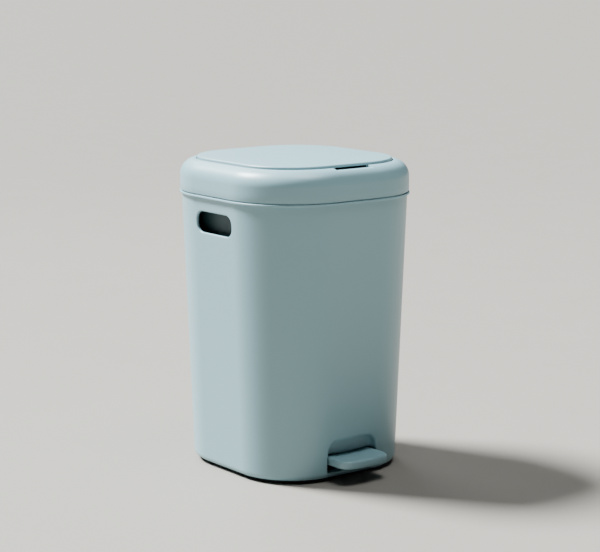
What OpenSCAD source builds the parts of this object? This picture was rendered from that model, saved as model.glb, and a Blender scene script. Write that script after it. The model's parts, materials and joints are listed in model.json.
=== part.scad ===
// Pedal trash can: a tapered shell with a lift-out bucket and a lid opened by a foot pedal.
// Origin on the floor under the centre of the shell. +Z up, the pedal points along -Y.

/* [Outline] */
// Overall width of the lid frame
overall_w = 376; // [370:1:384]
// Overall depth of the lid frame, without the pedal
overall_d = 392; // [386:1:398]
// Corner radius of the lid frame seen from above
corner_r = 138; // [135:1:141]
// Height of the joint between the shell and the lid frame
seam_z = 517.5; // [515:0.5:520]
// How far the shell's wall is set in from the lid frame at the joint
wall_set = 2.9; // [2.5:0.1:3.5]
// Draft of the shell's wall, as inset for each millimetre downwards
draft = 0.0381; // [0.036:0.0005:0.04]
// Wall thickness of the shell and the lid frame
wall = 3; // [2.5:0.1:3.2]

/* [Lid frame and lid] */
// Radius of the lid frame's rounded shoulder
shoulder_r = 30; // [28:1:32]
// Height of the lid frame's crest
crest_z = 574; // [572:0.5:576]
// Height of the lid's top at its edge
lid_z = 579; // [578.5:0.5:580.5]
// How far the middle of the lid stands above its edge
crown = 2; // [1:0.5:3]
// Gap between the lid and the lid frame
lid_gap = 2; // [1.5:0.1:2.2]
// Angle through which the lid opens
lid_open = 85; // [60:1:88]
// Distance of the crank roller from the hinge axis
crank_r = 24; // [22:0.5:25]

/* [Openings] */
// Width of the pedal recess
recess_w = 109.2; // [108.8:0.2:112]
// Width of the slot under the recess
slot_w = 115.2; // [113:0.2:118]
// Height of the top of the pedal recess
recess_z = 75.2; // [70:0.1:78]
// Depth of the pedal recess
recess_depth = 15; // [12:1:16]
// Width of a hand hole
hole_w = 108; // [90:1:108]
// Height of a hand hole
hole_h = 39; // [36:1:42]
// Height of the middle of the hand holes
hole_z = 466.5; // [450:0.5:470]
// Depth of the rim round a hand hole
hole_depth = 5; // [5:0.5:10]
// Width of the finger notch in the lid frame's crest
notch_w = 83; // [70:1:90]

/* [Pedal] */
// Width of the pedal
pedal_w = 108; // [100:1:108]
// How far the pedal's front edge stands from the middle of the shell
pedal_front = 225; // [221:1:229]
// Height of the top of the pedal
pedal_z = 46; // [45:0.1:46.5]
// Thickness of the pedal
pedal_t = 14.3; // [13:0.1:15]
// Distance of the pedal's axle in front of the middle of the shell
axle_y = 72; // [68:1:76]
// Height of the pedal's axle
axle_z = 30; // [29:0.5:31]

/* [Inside] */
// Distance of the push rod behind the middle of the shell
rod_y = 157; // [156:0.5:158]
// Radius of the push rod
rod_r = 3; // [2.5:0.1:3.2]
// Gap between the shell and the bucket, for fingers in the hand holes
bucket_gap = 18; // [16:1:20]
// Height of the underside of the bucket
bucket_z = 84; // [82:1:88]
// Height of the bucket's rim
rim_z = 500; // [496:1:502]

/* [Hidden] */
$fn = 96;
eps = 0.01;

half_w = overall_w / 2;
half_d = overall_d / 2;
flat_x = half_w - corner_r;      // half length of the front and rear flats
flat_y = half_d - corner_r;      // half length of the side flats

shell_z = 6;                     // lowest edge of the shell
foot_fillet = 10.5;               // rounding of the shell's lowest edge
slack = 0.06;                    // radial clearance of every running fit
screw_r = 2;                     // shank radius of the small screws
head_r = 4;                      // head radius of the small screws
head_t = 2.4;                    // head height of the small screws

deck_z = 7;                      // top of the base plate
deck_t = 3;                      // thickness of the base plate
base_off = -35.5;                // outside of the base plate's rim
body_boss = [115, 123];          // screw bosses that join the shell and the base plate
foot_at = [112, 98];             // rubber feet
post_at = [100, 84];             // posts that carry the bucket
foot_h = 4;                      // height of the feet under the base plate

recess_y = half_d + wall_off(axle_z) - recess_depth;  // distance of the recess's back wall
slot_z = 16.6;                   // bottom of the slot that the pedal sweeps
slot_top = 48;                   // top of the slot
recess_corner = 20;              // corner radius of the recess

hinge_y = half_d - 18;           // hinge axis of the lid
hinge_z = crest_z - 8;
pin_r = 2;                       // hinge pins and the roller's pin
knuckle_r = 6;                   // lid knuckles
lug_r = 5;                       // lugs of the hinge blocks
bay_w = 124;                     // width of the hinge bay in the rear of the lid frame
bay_floor = 548;                 // top of the bay's floor
bay_front = half_d - 28.5;       // front edge of the bay's floor
ledge_z = 555;                   // top of the ledge round the mouth
lip_off = -shoulder_r;           // inner face of the lid frame's lip
ledge_off = -40;                 // edge of the mouth
lid_off = lip_off - lid_gap;     // outside of the lid
lid_t = 3;                       // thickness of the lid's top
skirt_z = 560;                   // lowest edge of the lid's skirt
finger_half = notch_w / 2 - 3;   // half width of the gap in the skirt behind the finger notch
liner_z = 562;                   // underside of the lid's liner
liner_t = 2.5;

half_sweep = lid_open / 2;       // the crank swings this far below and above level
roller_y = hinge_y - crank_r * cos(half_sweep);
roller_z = hinge_z - crank_r * sin(half_sweep);
roller_r = 5;
crank_gap = 0.9;                 // play between the rod's head and the roller at rest
head_z = roller_z - roller_r - crank_gap;     // top of the rod's head

strip_t = 3;                     // thickness of the lever's strip
strip_w = 30;
tip_z = 22;                      // middle of the lever's tip
tip_r = 6;
foot_gap = 0.5;                  // play between the lever's tip and the rod's foot
rod_foot_z = tip_z + tip_r + foot_gap;
rod_foot_t = 6.5;

bucket_t = 2.5;                  // wall thickness of the bucket
notch_half = 28;                 // half width of the bucket's rear notch
notch_y = 146;                   // front of the bucket's rear notch
bail_z = rim_z + 8;              // pivot height of the bail
bail_r = 2.5;                    // radius of the bail's wire
bail_x = 154;                    // distance of the bail's legs from the middle
bail_reach = 174;                // length of the bail's legs
bail_corner = 100;               // bend radius of the bail's corners
ear_x = 161.5;                   // middle of the bucket's ears

shell_col = [0.60, 0.70, 0.73];
dark_col = [0.10, 0.11, 0.12];
steel_col = [0.72, 0.73, 0.74];
nylon_col = [0.85, 0.85, 0.82];
bucket_col = [0.42, 0.45, 0.47];

// Offset of the shell's outside from the lid frame's outside at height z
function wall_off(z) = -wall_set - (seam_z - z) * draft;

// Offset of the bucket's outside from the lid frame's outside at height z
function bucket_off(z) = wall_off(z) - wall - bucket_gap;

// Points of an arc from angle a0 to a1
function arc(cx, cy, r, a0, a1, n = 8) =
    [for (i = [0 : n]) let (a = a0 + (a1 - a0) * i / n) [cx + r * cos(a), cy + r * sin(a)]];

// Sweeps a profile round the outline: x is the offset outwards, y the height
module swept() {
    for (turn = [0 : 3]) {
        near = turn % 2 == 0 ? half_w : half_d;
        run = turn % 2 == 0 ? flat_y : flat_x;
        rotate([0, 0, 90 * turn]) {
            translate([near, run, 0]) rotate([90, 0, 0]) linear_extrude(2 * run) children();
            translate([near - corner_r, run, 0])
                rotate_extrude(angle = 90) translate([corner_r, 0]) children();
        }
    }
}

// The middle block that closes a swept profile which reaches the corner centres
module core(z0, z1) {
    translate([-flat_x, -flat_y, z0]) cube([2 * flat_x, 2 * flat_y, z1 - z0]);
}

// A closed slab whose outside follows the offsets off0 at z0 and off1 at z1
module slab(off0, z0, off1, z1) {
    swept() polygon([[-corner_r, z0], [off0, z0], [off1, z1], [-corner_r, z1]]);
    core(z0, z1);
}

// Extrudes a shape drawn in Y and Z along X, centred
module along_x(width) {
    rotate([90, 0, 90]) linear_extrude(width, center = true) children();
}

// Extrudes a shape drawn in X and Z along Y, from y0 to y1
module along_y(y0, y1) {
    translate([0, y1, 0]) rotate([90, 0, 0]) linear_extrude(y1 - y0) children();
}

// A rod along X, centred at x
module bar_x(x, y, z, r, length) {
    translate([x, y, z]) rotate([0, 90, 0]) cylinder(r = r, h = length, center = true);
}

// Repeats its children at the four mirrored places of a point
module four(at) {
    for (sx = [-1, 1], sy = [-1, 1]) translate([sx * at[0], sy * at[1], 0]) children();
}

// Repeats its children on the left and on the right
module both() {
    for (side = [0, 1]) mirror([side, 0, 0]) children();
}

// An upright rectangle with rounded upper corners
module arch(half, z0, z1, r) {
    translate([-half, z0]) square([2 * half, z1 - z0 - r]);
    translate([-(half - r), z0]) square([2 * (half - r), z1 - z0]);
    for (side = [-1, 1]) translate([side * (half - r), z1 - r]) circle(r);
}

// A rounded rectangle centred on the origin
module round_rect(w, h, r) {
    square([w - 2 * r, h], center = true);
    square([w, h - 2 * r], center = true);
    for (sx = [-1, 1], sy = [-1, 1]) translate([sx * (w / 2 - r), sy * (h / 2 - r)]) circle(r);
}

// A screw that points up, with its head's underside at z
module screw_up(z, length) {
    translate([0, 0, z - head_t]) cylinder(r = head_r, h = head_t);
    translate([0, 0, z - eps]) cylinder(r = screw_r, h = length + eps);
}

// ---- shell ----

module body_profile() {
    low = wall_off(shell_z + foot_fillet) - foot_fillet;
    bead = 1.2;
    polygon(concat(
        arc(low, shell_z + foot_fillet, foot_fillet, -90, 0),
        [[wall_off(seam_z - 7), seam_z - 7], [bead - 1, seam_z - 6.4], [bead, seam_z - 5.4],
         [bead, seam_z - 3.5], [bead - 1, seam_z - 2.5], [wall_off(seam_z), seam_z - 2.5],
         [wall_off(seam_z), seam_z], [wall_off(seam_z) - wall, seam_z]],
        arc(low, shell_z + foot_fillet, foot_fillet - wall, 0, -90)));
}

// Box that surrounds the pedal recess and its slot, cut off just inside the shell's outside
module recess_housing() {
    inset = 1;
    top = 100;
    intersection() {
        union() {
            along_y(-half_d, -(recess_y - wall))
                arch(recess_w / 2 + wall, slot_z - wall, recess_z + wall, recess_corner + wall);
            translate([-slot_w / 2 - wall, -half_d, slot_z - wall])
                cube([slot_w + 2 * wall, half_d - recess_y + wall, slot_top - slot_z + 2 * wall]);
        }
        slab(wall_off(0) - inset, 0, wall_off(top) - inset, top);
    }
}

module recess_space() {
    along_y(-half_d, -recess_y) arch(recess_w / 2, slot_z, recess_z, recess_corner);
    translate([-slot_w / 2, -half_d, slot_z])
        cube([slot_w, half_d - recess_y + 2 * wall, slot_top - slot_z]);
}

// Upright bosses and ribs that take the screws of the base plate
module body_bosses() {
    boss_h = 33;
    rib = 24;
    four(body_boss) translate([0, 0, deck_z]) cylinder(r = 6, h = boss_h);
    for (sx = [-1, 1], sy = [-1, 1])
        translate([sx * body_boss[0], sy * body_boss[1], deck_z + 6])
            rotate([0, 0, atan2(sy, sx)]) translate([0, -1.5, 0]) cube([rib, 3, boss_h - 6]);
}

// Height and rear face of each rod guide
guide_at = [[110, half_d - 29], [470, half_d - 20]];

module guide_bosses() {
    for (g = guide_at, side = [-1, 1]) {
        reach = half_d + wall_off(g[0]) - wall / 2 - g[1];
        translate([side * 16, g[1], g[0]]) rotate([-90, 0, 0]) cylinder(r = 5, h = reach);
    }
}

module guide_bores() {
    for (g = guide_at, side = [-1, 1])
        translate([side * 16, g[1] - eps, g[0]]) rotate([-90, 0, 0]) cylinder(r = screw_r, h = 6);
}

// Extrudes a hand hole's outline, grown by a margin, along X
module hole_prism(x0, x1, margin) {
    translate([x0, 0, hole_z]) rotate([90, 0, 90]) linear_extrude(x1 - x0)
        round_rect(hole_w + 2 * margin, hole_h + 2 * margin, 17 + margin);
}

module outer_body() {
    hole_face = half_w + wall_off(hole_z);
    color(shell_col) difference() {
        union() {
            swept() body_profile();
            both() hole_prism(hole_face - hole_depth, hole_face - 1.1, 2.5);
            recess_housing();
            body_bosses();
            guide_bosses();
        }
        recess_space();
        hole_prism(-half_w, half_w, 0);
        four(body_boss) translate([0, 0, deck_z - eps]) cylinder(r = screw_r, h = 24);
        guide_bores();
    }
}

// ---- base ----

// The four outer feet and the middle one, which backs the deck under the pedal lever
module feet() {
    four(foot_at) children();
    children();
}

module base_plate() {
    rim_low = 1.5;
    rim_top = 13;
    color(dark_col) difference() {
        union() {
            slab(base_off, deck_z - deck_t, base_off, deck_z);
            swept() polygon([[base_off, rim_low], [base_off, rim_top],
                [base_off - wall, rim_top], [base_off - wall, rim_low]]);
            four(post_at) translate([0, 0, deck_z - eps]) cylinder(r = 10, h = bucket_z - deck_z + eps);
        }
        four(post_at) translate([0, 0, deck_z + 2]) cylinder(r = 7.5, h = bucket_z);
        feet() translate([0, 0, -eps]) cylinder(r = head_r, h = bucket_z);
        four(body_boss) cylinder(r = screw_r, h = bucket_z);
        bracket_holes() cylinder(r = screw_r, h = bucket_z);
    }
}

module rubber_feet() {
    color([0.05, 0.05, 0.05]) feet() {
        cylinder(r = 12, h = foot_h);
        cylinder(r = head_r, h = deck_z);
    }
}

module base_screws() {
    color(steel_col) four(body_boss) screw_up(deck_z - deck_t, 24);
}

// ---- pedal bearing ----

cheek_in = 23;                   // inner face of each cheek
cheek_t = 3;

module bracket_holes() {
    for (sx = [-1, 1], sy = [-1, 1]) translate([sx * 36, -axle_y + sy * 9, 0]) children();
}

module pedal_bracket() {
    color(steel_col) difference() {
        union() {
            translate([-44, -axle_y - 16, deck_z]) cube([88, 32, 2]);
            both() translate([cheek_in + cheek_t / 2, 0, 0]) along_x(cheek_t) {
                translate([-axle_y - 12, deck_z]) square([24, axle_z - deck_z]);
                translate([-axle_y, axle_z]) circle(12);
            }
        }
        bar_x(0, -axle_y, axle_z, 4, 120);
        bracket_holes() cylinder(r = screw_r, h = bucket_z);
    }
}

module bracket_screws() {
    color(steel_col) bracket_holes() {
        translate([0, 0, deck_z + 2]) cylinder(r = head_r, h = head_t);
        translate([0, 0, deck_z - deck_t + 0.5]) cylinder(r = screw_r, h = deck_t + 2);
    }
}

module pedal_axle() {
    color(steel_col) bar_x(0, -axle_y, axle_z, 4, 62);
}

module axle_clips() {
    color(dark_col) both() difference() {
        bar_x(cheek_in + cheek_t + 0.6, -axle_y, axle_z, 6.5, 1.2);
        bar_x(cheek_in + cheek_t, -axle_y, axle_z, 4, 8);
    }
}

// ---- push rod bearings ----

module rod_guides() {
    color(nylon_col) for (g = guide_at) difference() {
        union() {
            translate([-22, g[1] - 4, g[0] - 12]) cube([44, 4, 24]);
            translate([-8, rod_y, g[0] - 6]) cube([16, g[1] - rod_y, 12]);
            translate([0, rod_y, g[0] - 6]) cylinder(r = 8, h = 12);
        }
        translate([0, rod_y, g[0] - 20]) cylinder(r = rod_r + slack, h = 40);
        for (side = [-1, 1])
            translate([side * 16, g[1] - 8, g[0]]) rotate([-90, 0, 0]) cylinder(r = screw_r, h = 16);
    }
}

module guide_screws() {
    color(steel_col) for (g = guide_at, side = [-1, 1])
        translate([side * 16, g[1] - 4, g[0]]) rotate([-90, 0, 0]) screw_up(0, 8.5);
}

// ---- pedal and lever ----

module pedal_plan() {
    bow = 5;
    bow_r = (pow(pedal_w / 2, 2) + pow(bow, 2)) / (2 * bow);
    back = 152;
    corner = 22;
    corner_x = pedal_w / 2 - corner;
    corner_y = bow_r - pedal_front - sqrt(pow(bow_r - corner, 2) - pow(corner_x, 2));
    bow_x = corner_x * bow_r / (bow_r - corner);
    intersection() {
        translate([0, bow_r - pedal_front]) circle(bow_r, $fn = 256);
        translate([-bow_x, -pedal_front - 1]) square([2 * bow_x, pedal_front - back + 1]);
    }
    for (side = [-1, 1]) translate([side * corner_x, corner_y]) circle(corner);
    translate([-pedal_w / 2, corner_y]) square([pedal_w, -back - corner_y]);
}

pedal_low = pedal_z - pedal_t;
pedal_screw_y = [207, 186];

module pedal_pad() {
    color(shell_col) difference() {
        translate([0, 0, pedal_low]) linear_extrude(pedal_t) pedal_plan();
        translate([-strip_w / 2 - 0.2, -215.2, pedal_low - eps])
            cube([strip_w + 0.4, 80, strip_t + eps]);
        for (y = pedal_screw_y) translate([0, -y, pedal_low]) cylinder(r = screw_r, h = 11);
    }
}

// Side view of the lever's strip
module strip_shape() {
    top = pedal_low + strip_t;
    bend = [-axle_y, axle_z + strip_t / 2];
    end = [rod_y + 6, tip_z + strip_t / 2];
    polygon([[-215, top], [-112, top], bend, end, [end[0], end[1] - strip_t],
        [bend[0], bend[1] - strip_t], [-112, top - strip_t], [-215, top - strip_t]]);
}

module pedal_lever() {
    color(steel_col) difference() {
        union() {
            along_x(strip_w) strip_shape();
            bar_x(0, -axle_y, axle_z, 8, 40);
        }
        bar_x(0, -axle_y, axle_z, 6, 60);
        for (y = pedal_screw_y) translate([0, -y, 0]) cylinder(r = screw_r, h = bucket_z);
    }
}

module pedal_screws() {
    color(steel_col) for (y = pedal_screw_y) translate([0, -y, 0]) screw_up(pedal_low, 10);
}

module lever_bushes() {
    color(nylon_col) both() difference() {
        union() {
            bar_x(13, -axle_y, axle_z, 6, 14);
            bar_x(21, -axle_y, axle_z, 9, 2);
        }
        bar_x(13, -axle_y, axle_z, 4 + slack, 60);
    }
}

module lever_tip() {
    color(nylon_col) difference() {
        bar_x(0, rod_y, tip_z, tip_r, strip_w + 8);
        along_x(strip_w) strip_shape();
    }
}

module push_rod() {
    color(steel_col) translate([0, rod_y, rod_foot_z + 2.5])
        cylinder(r = rod_r, h = head_z - 3 - rod_foot_z - 2.5);
}

module rod_end(z, height, bore_z) {
    difference() {
        translate([-10, rod_y - 9, z]) cube([20, 18, height]);
        translate([0, rod_y, bore_z]) cylinder(r = rod_r, h = height);
    }
}

module rod_foot() {
    color(nylon_col) rod_end(rod_foot_z, rod_foot_t, rod_foot_z + 2.5);
}

module rod_head() {
    height = 9;
    color(nylon_col) rod_end(head_z - height, height, head_z - 3 - height);
}

// ---- lid frame ----

module frame_profile() {
    centre_z = crest_z - shoulder_r;
    inner_r = shoulder_r - wall;
    lip_in = lip_off + wall;
    skirt_out = -wall_set - wall - 1;
    meet = asin(sqrt(1 - pow(wall / inner_r, 2)));
    polygon(concat(
        [[0, seam_z]],
        arc(lip_off, centre_z, shoulder_r, 0, 90, 12),
        [[lip_off, ledge_z], [ledge_off, ledge_z], [ledge_off, ledge_z - wall], [lip_in, ledge_z - wall]],
        arc(lip_off, centre_z, inner_r, meet, 0, 12),
        [[-wall, seam_z + wall], [skirt_out - 2.6, seam_z + wall], [skirt_out - 2.6, seam_z - 14],
         [skirt_out, seam_z - 14], [skirt_out, seam_z]]));
}

// Side view of the walls that close the hinge bay
module bay_side() {
    r = shoulder_r - wall / 2;
    y = half_d + lip_off;
    polygon(concat([[y, bay_floor - wall], [y, crest_z - wall / 2]],
        arc(y, crest_z - shoulder_r, r, 85, 0), [[y + r, bay_floor - wall]]));
}

// The solid under the finger notch, and the notch itself
module notch_pad() {
    translate([-notch_w / 2 - 4, -(half_d - 15), crest_z - 12]) cube([notch_w + 8, 13.5, 10]);
}

module notch_space() {
    deep = 4;
    slope = 6;
    along_y(-(half_d - 20), -(half_d - 36)) polygon([[-notch_w / 2, crest_z + eps],
        [-notch_w / 2 + slope, crest_z - deep], [notch_w / 2 - slope, crest_z - deep],
        [notch_w / 2, crest_z + eps]]);
}

module block_holes() {
    for (x = [-40, 40], y = [0, 9]) translate([x, hinge_y - 4.5 + y, 0]) children();
}

module lid_frame() {
    color(shell_col) difference() {
        union() {
            difference() {
                union() {
                    swept() frame_profile();
                    notch_pad();
                }
                translate([-bay_w / 2, half_d - 48, bay_floor]) cube([bay_w, 42, shoulder_r]);
                notch_space();
            }
            both() translate([bay_w / 2 + wall / 2, 0, 0]) along_x(wall) bay_side();
            translate([-bay_w / 2 - wall, bay_front, bay_floor - wall])
                cube([bay_w + 2 * wall, half_d - 1.5 - bay_front, wall]);
        }
        block_holes() translate([0, 0, bay_floor - 10]) cylinder(r = screw_r, h = 20);
    }
}

module lid_bumpers() {
    top = skirt_z - 0.3;
    off = half_d - 35;
    color([0.08, 0.08, 0.08]) {
        for (sx = [-1, 1], sy = [-1, 1]) translate([sx * (half_w - 35), sy * 45, ledge_z])
            cylinder(r = head_r, h = top - ledge_z);
        for (sx = [-1, 1]) translate([sx * 40, -off, ledge_z]) cylinder(r = head_r, h = top - ledge_z);
    }
}

// ---- hinge ----

module hinge_blocks() {
    base_t = 3;
    color(nylon_col) difference() {
        for (x = [-40, 40]) {
            translate([x - 12, hinge_y - 9, bay_floor]) cube([24, 17, base_t]);
            for (side = [-1, 1]) translate([x + side * 9.5, 0, 0]) along_x(5) {
                translate([hinge_y - lug_r, bay_floor]) square([2 * lug_r, hinge_z - bay_floor]);
                translate([hinge_y, hinge_z]) circle(lug_r);
            }
        }
        bar_x(0, hinge_y, hinge_z, pin_r, 120);
        block_holes() cylinder(r = screw_r, h = bay_floor + 20);
    }
}

module block_screws() {
    color(steel_col) block_holes() mirror([0, 0, 1]) screw_up(-bay_floor - 3, 6);
}

module hinge_pins() {
    color(steel_col) for (side = [-1, 1]) {
        bar_x(side * 40, hinge_y, hinge_z, pin_r, 30);
        bar_x(side * 55.5, hinge_y, hinge_z, 3.4, 1.2);
    }
}

module pin_clips() {
    color(dark_col) for (side = [-1, 1]) difference() {
        bar_x(side * 27.4, hinge_y, hinge_z, 3.4, 1.2);
        bar_x(side * 27.4, hinge_y, hinge_z, pin_r, 8);
    }
}

// ---- lid ----

liner_boss = [96, 70];
crank_boss_y = [140, 118];

// Side view of the tab that reaches back to the hinge
module tab_shape() {
    polygon([[hinge_y - 17, lid_z - lid_t], [hinge_y - 17, lid_z - 1], [hinge_y - 13, lid_z - 1],
        [hinge_y - 7, lid_z - 3.5], [hinge_y + 2.5, lid_z - 4.5], [hinge_y + 4.5, lid_z - 6],
        [hinge_y + 4.5, lid_z - 7.5], [hinge_y - 10, lid_z - 7.5]]);
}

// Side view of the knuckles, closed up to the tab
module knuckle_shape() {
    translate([hinge_y, hinge_z]) circle(knuckle_r);
    translate([hinge_y - 4, hinge_z]) square([8, lid_z - hinge_z - 6]);
}

module lid_panel() {
    edge = 3;
    color(shell_col) difference() {
        union() {
            swept() polygon(concat([[-corner_r, lid_z - lid_t], [lid_off - wall + 0.5, lid_z - lid_t],
                [lid_off - wall + 0.5, skirt_z], [lid_off, skirt_z]],
                arc(lid_off - edge, lid_z - edge, edge, 0, 90, 5), [[-corner_r, lid_z + crown]]));
            core(lid_z - lid_t, lid_z + crown);
            along_x(112) tab_shape();
            for (side = [-1, 1]) translate([side * 40, 0, 0]) along_x(13) knuckle_shape();
            four(liner_boss) translate([0, 0, liner_z + liner_t])
                cylinder(r = 5, h = lid_z - 1 - liner_z - liner_t);
            for (y = crank_boss_y) translate([0, y, lid_z - 12.5]) cylinder(r = 6, h = 11.5);
        }
        bar_x(0, hinge_y, hinge_z, pin_r + slack, 160);
        translate([-16, hinge_y - 24, skirt_z - 1]) cube([32, 14, lid_z - lid_t - skirt_z + 1]);
        both() translate([bay_w / 2 - 1, hinge_y - 30, skirt_z - 1])
            cube([29, 30, lid_z - 6 - skirt_z + 1]);
        translate([-finger_half, -half_d, skirt_z - 1])
            cube([2 * finger_half, -lid_off + 2 * lid_t, lid_z - 6 - skirt_z + 1]);
        four(liner_boss) cylinder(r = screw_r, h = lid_z - lid_t);
        for (y = crank_boss_y) translate([0, y, 0]) cylinder(r = screw_r, h = lid_z - lid_t);
    }
}

module lid_liner() {
    off = lid_off - wall - 2;
    color([0.52, 0.60, 0.63]) difference() {
        slab(off, liner_z, off, liner_z + liner_t);
        translate([-half_w, 128, liner_z - 1]) cube([overall_w, half_d, 10]);
        translate([-18, 106, liner_z - 1]) cube([36, half_d, 10]);
        four(liner_boss) cylinder(r = screw_r, h = lid_z);
    }
}

module liner_screws() {
    color(steel_col) four(liner_boss) screw_up(liner_z, 11);
}

crank_top = lid_z - 12.5;        // underside of the crank's bosses

module lid_crank() {
    color(nylon_col) difference() {
        union() {
            translate([-12, 109, crank_top - 3]) cube([24, 59, 3]);
            both() translate([9, 0, 0]) along_x(3) {
                translate([roller_y, roller_z]) circle(4);
                polygon([[roller_y - 4, roller_z], [roller_y - 12, crank_top - 3],
                    [roller_y + 5.7, crank_top - 3], [roller_y + 4, roller_z]]);
            }
        }
        bar_x(0, roller_y, roller_z, pin_r, 60);
        for (y = crank_boss_y) translate([0, y, 0]) cylinder(r = screw_r, h = lid_z);
    }
}

module crank_screws() {
    color(steel_col) for (y = crank_boss_y) translate([0, y, 0]) screw_up(crank_top - 3, 11);
}

module crank_roller() {
    color(dark_col) difference() {
        bar_x(0, roller_y, roller_z, roller_r, 14);
        bar_x(0, roller_y, roller_z, pin_r, 40);
    }
}

module roller_pin() {
    color(steel_col) bar_x(0, roller_y, roller_z, pin_r, 23);
}

// ---- bucket ----

module bucket_profile() {
    rim = 8;
    low = bucket_off(bucket_z);
    polygon([[-corner_r, bucket_z], [low, bucket_z], [bucket_off(rim_z - 3), rim_z - 3],
        [bucket_off(rim_z) + rim, rim_z - 3], [bucket_off(rim_z) + rim, rim_z],
        [bucket_off(rim_z) - bucket_t, rim_z], [low - bucket_t, bucket_z + 3],
        [-corner_r, bucket_z + 3]]);
}

module inner_bucket() {
    color(bucket_col) difference() {
        union() {
            swept() bucket_profile();
            core(bucket_z, bucket_z + 3);
            intersection() {
                translate([-notch_half - bucket_t, notch_y - bucket_t, bucket_z])
                    cube([2 * (notch_half + bucket_t), 60, rim_z - bucket_z]);
                slab(bucket_off(bucket_z), bucket_z, bucket_off(rim_z), rim_z);
            }
            both() translate([ear_x, 0, 0]) along_x(4) {
                translate([-9, rim_z - 2]) square([18, bail_z - rim_z + 2]);
                translate([0, bail_z]) circle(9);
            }
        }
        translate([-notch_half, notch_y, bucket_z - 1]) cube([2 * notch_half, 60, rim_z]);
        bar_x(0, 0, bail_z, bail_r + slack, overall_w);
    }
}

module bail_handle() {
    leg = bail_reach - bail_corner;
    color(steel_col) {
        both() {
            bar_x(bail_x + 7, 0, bail_z, bail_r, 14);
            translate([bail_x, 0, bail_z]) sphere(bail_r);
            translate([bail_x, 0, bail_z]) rotate([90, 0, 0]) cylinder(r = bail_r, h = leg);
            translate([bail_x - bail_corner, -leg, bail_z]) rotate([0, 0, -90])
                rotate_extrude(angle = 90) translate([bail_corner, 0]) circle(bail_r);
        }
        bar_x(0, -bail_reach, bail_z, bail_r, 2 * (bail_x - bail_corner));
    }
}

module bail_grip() {
    color(dark_col) difference() {
        bar_x(0, -bail_reach, bail_z, 6, 96);
        bar_x(0, -bail_reach, bail_z, bail_r, 120);
    }
}

outer_body();
base_plate();
rubber_feet();
base_screws();
pedal_bracket();
bracket_screws();
pedal_axle();
axle_clips();
rod_guides();
guide_screws();
pedal_pad();
pedal_lever();
pedal_screws();
lever_bushes();
lever_tip();
push_rod();
rod_foot();
rod_head();
lid_frame();
hinge_blocks();
block_screws();
hinge_pins();
pin_clips();
lid_bumpers();
lid_panel();
lid_liner();
liner_screws();
lid_crank();
crank_screws();
crank_roller();
roller_pin();
inner_bucket();
bail_handle();
bail_grip();
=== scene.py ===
import json
import math

import bmesh
import bpy
import numpy as np
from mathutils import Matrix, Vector


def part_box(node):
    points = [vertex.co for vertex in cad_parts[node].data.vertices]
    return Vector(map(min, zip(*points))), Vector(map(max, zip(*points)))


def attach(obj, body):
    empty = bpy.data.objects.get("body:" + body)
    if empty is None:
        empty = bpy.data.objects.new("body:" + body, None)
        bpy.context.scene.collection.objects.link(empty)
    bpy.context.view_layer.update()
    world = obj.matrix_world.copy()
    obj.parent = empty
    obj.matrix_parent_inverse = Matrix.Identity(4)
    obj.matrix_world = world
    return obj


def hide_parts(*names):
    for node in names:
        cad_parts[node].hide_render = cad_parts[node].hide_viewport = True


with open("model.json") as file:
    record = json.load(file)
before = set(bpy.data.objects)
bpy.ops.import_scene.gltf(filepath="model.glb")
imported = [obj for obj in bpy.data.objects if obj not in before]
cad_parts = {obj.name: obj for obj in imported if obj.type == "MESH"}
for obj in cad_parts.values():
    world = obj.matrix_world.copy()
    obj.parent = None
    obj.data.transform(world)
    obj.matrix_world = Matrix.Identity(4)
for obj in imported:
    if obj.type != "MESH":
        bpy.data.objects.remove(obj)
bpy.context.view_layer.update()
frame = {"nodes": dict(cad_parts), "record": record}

# ---- sizes, in millimetres ----

_, FRAME_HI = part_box("lid_frame")
HALF_W = FRAME_HI.x * 1000
HALF_D = FRAME_HI.y * 1000
CREST = FRAME_HI.z * 1000
CORNER = 138.0
FLAT_X = HALF_W - CORNER
FLAT_Y = HALF_D - CORNER
SEAM = 517.5
SEAM_STEP, TAPER = 2.9, 0.0381
WALL = 3.0
RECESS_HALF = 54.6
RECESS_CORNER = 20.0
RECESS_LOW = 16.6
RECESS_TOP = 75.2
RECESS_Y = 159.5
RECESS_BACK = WALL - RECESS_Y
SLOT_HALF = 57.6
SLOT_CORNER = 3
SLOT_TOP = 48.0
HOLE_W, HOLE_H, HOLE_Z, HOLE_R = 108.0, 39.0, 466.5, 17.0


def wall_off(z):
    """Offset of the shell's outside from the lid frame's outside at height z."""
    return -SEAM_STEP - (SEAM - np.asarray(z, float)) * TAPER


# ---- outline ----

# distance along the outline is measured at this corner radius
REF = 125.0
QUARTER = REF * math.pi / 2
LOOP = 4 * (FLAT_X + FLAT_Y) + 4 * QUARTER
SIDE = FLAT_X + QUARTER + FLAT_Y
RUNS = ((FLAT_X, (0, -FLAT_Y), -90, 0), (QUARTER, (FLAT_X, -FLAT_Y), -90, 90),
        (2 * FLAT_Y, (FLAT_X, -FLAT_Y), 0, 0), (QUARTER, (FLAT_X, FLAT_Y), 0, 90),
        (2 * FLAT_X, (FLAT_X, FLAT_Y), 90, 0), (QUARTER, (-FLAT_X, FLAT_Y), 90, 90),
        (2 * FLAT_Y, (-FLAT_X, FLAT_Y), 180, 0), (QUARTER, (-FLAT_X, -FLAT_Y), 180, 90),
        (FLAT_X, (-FLAT_X, -FLAT_Y), 270, 0))


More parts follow.
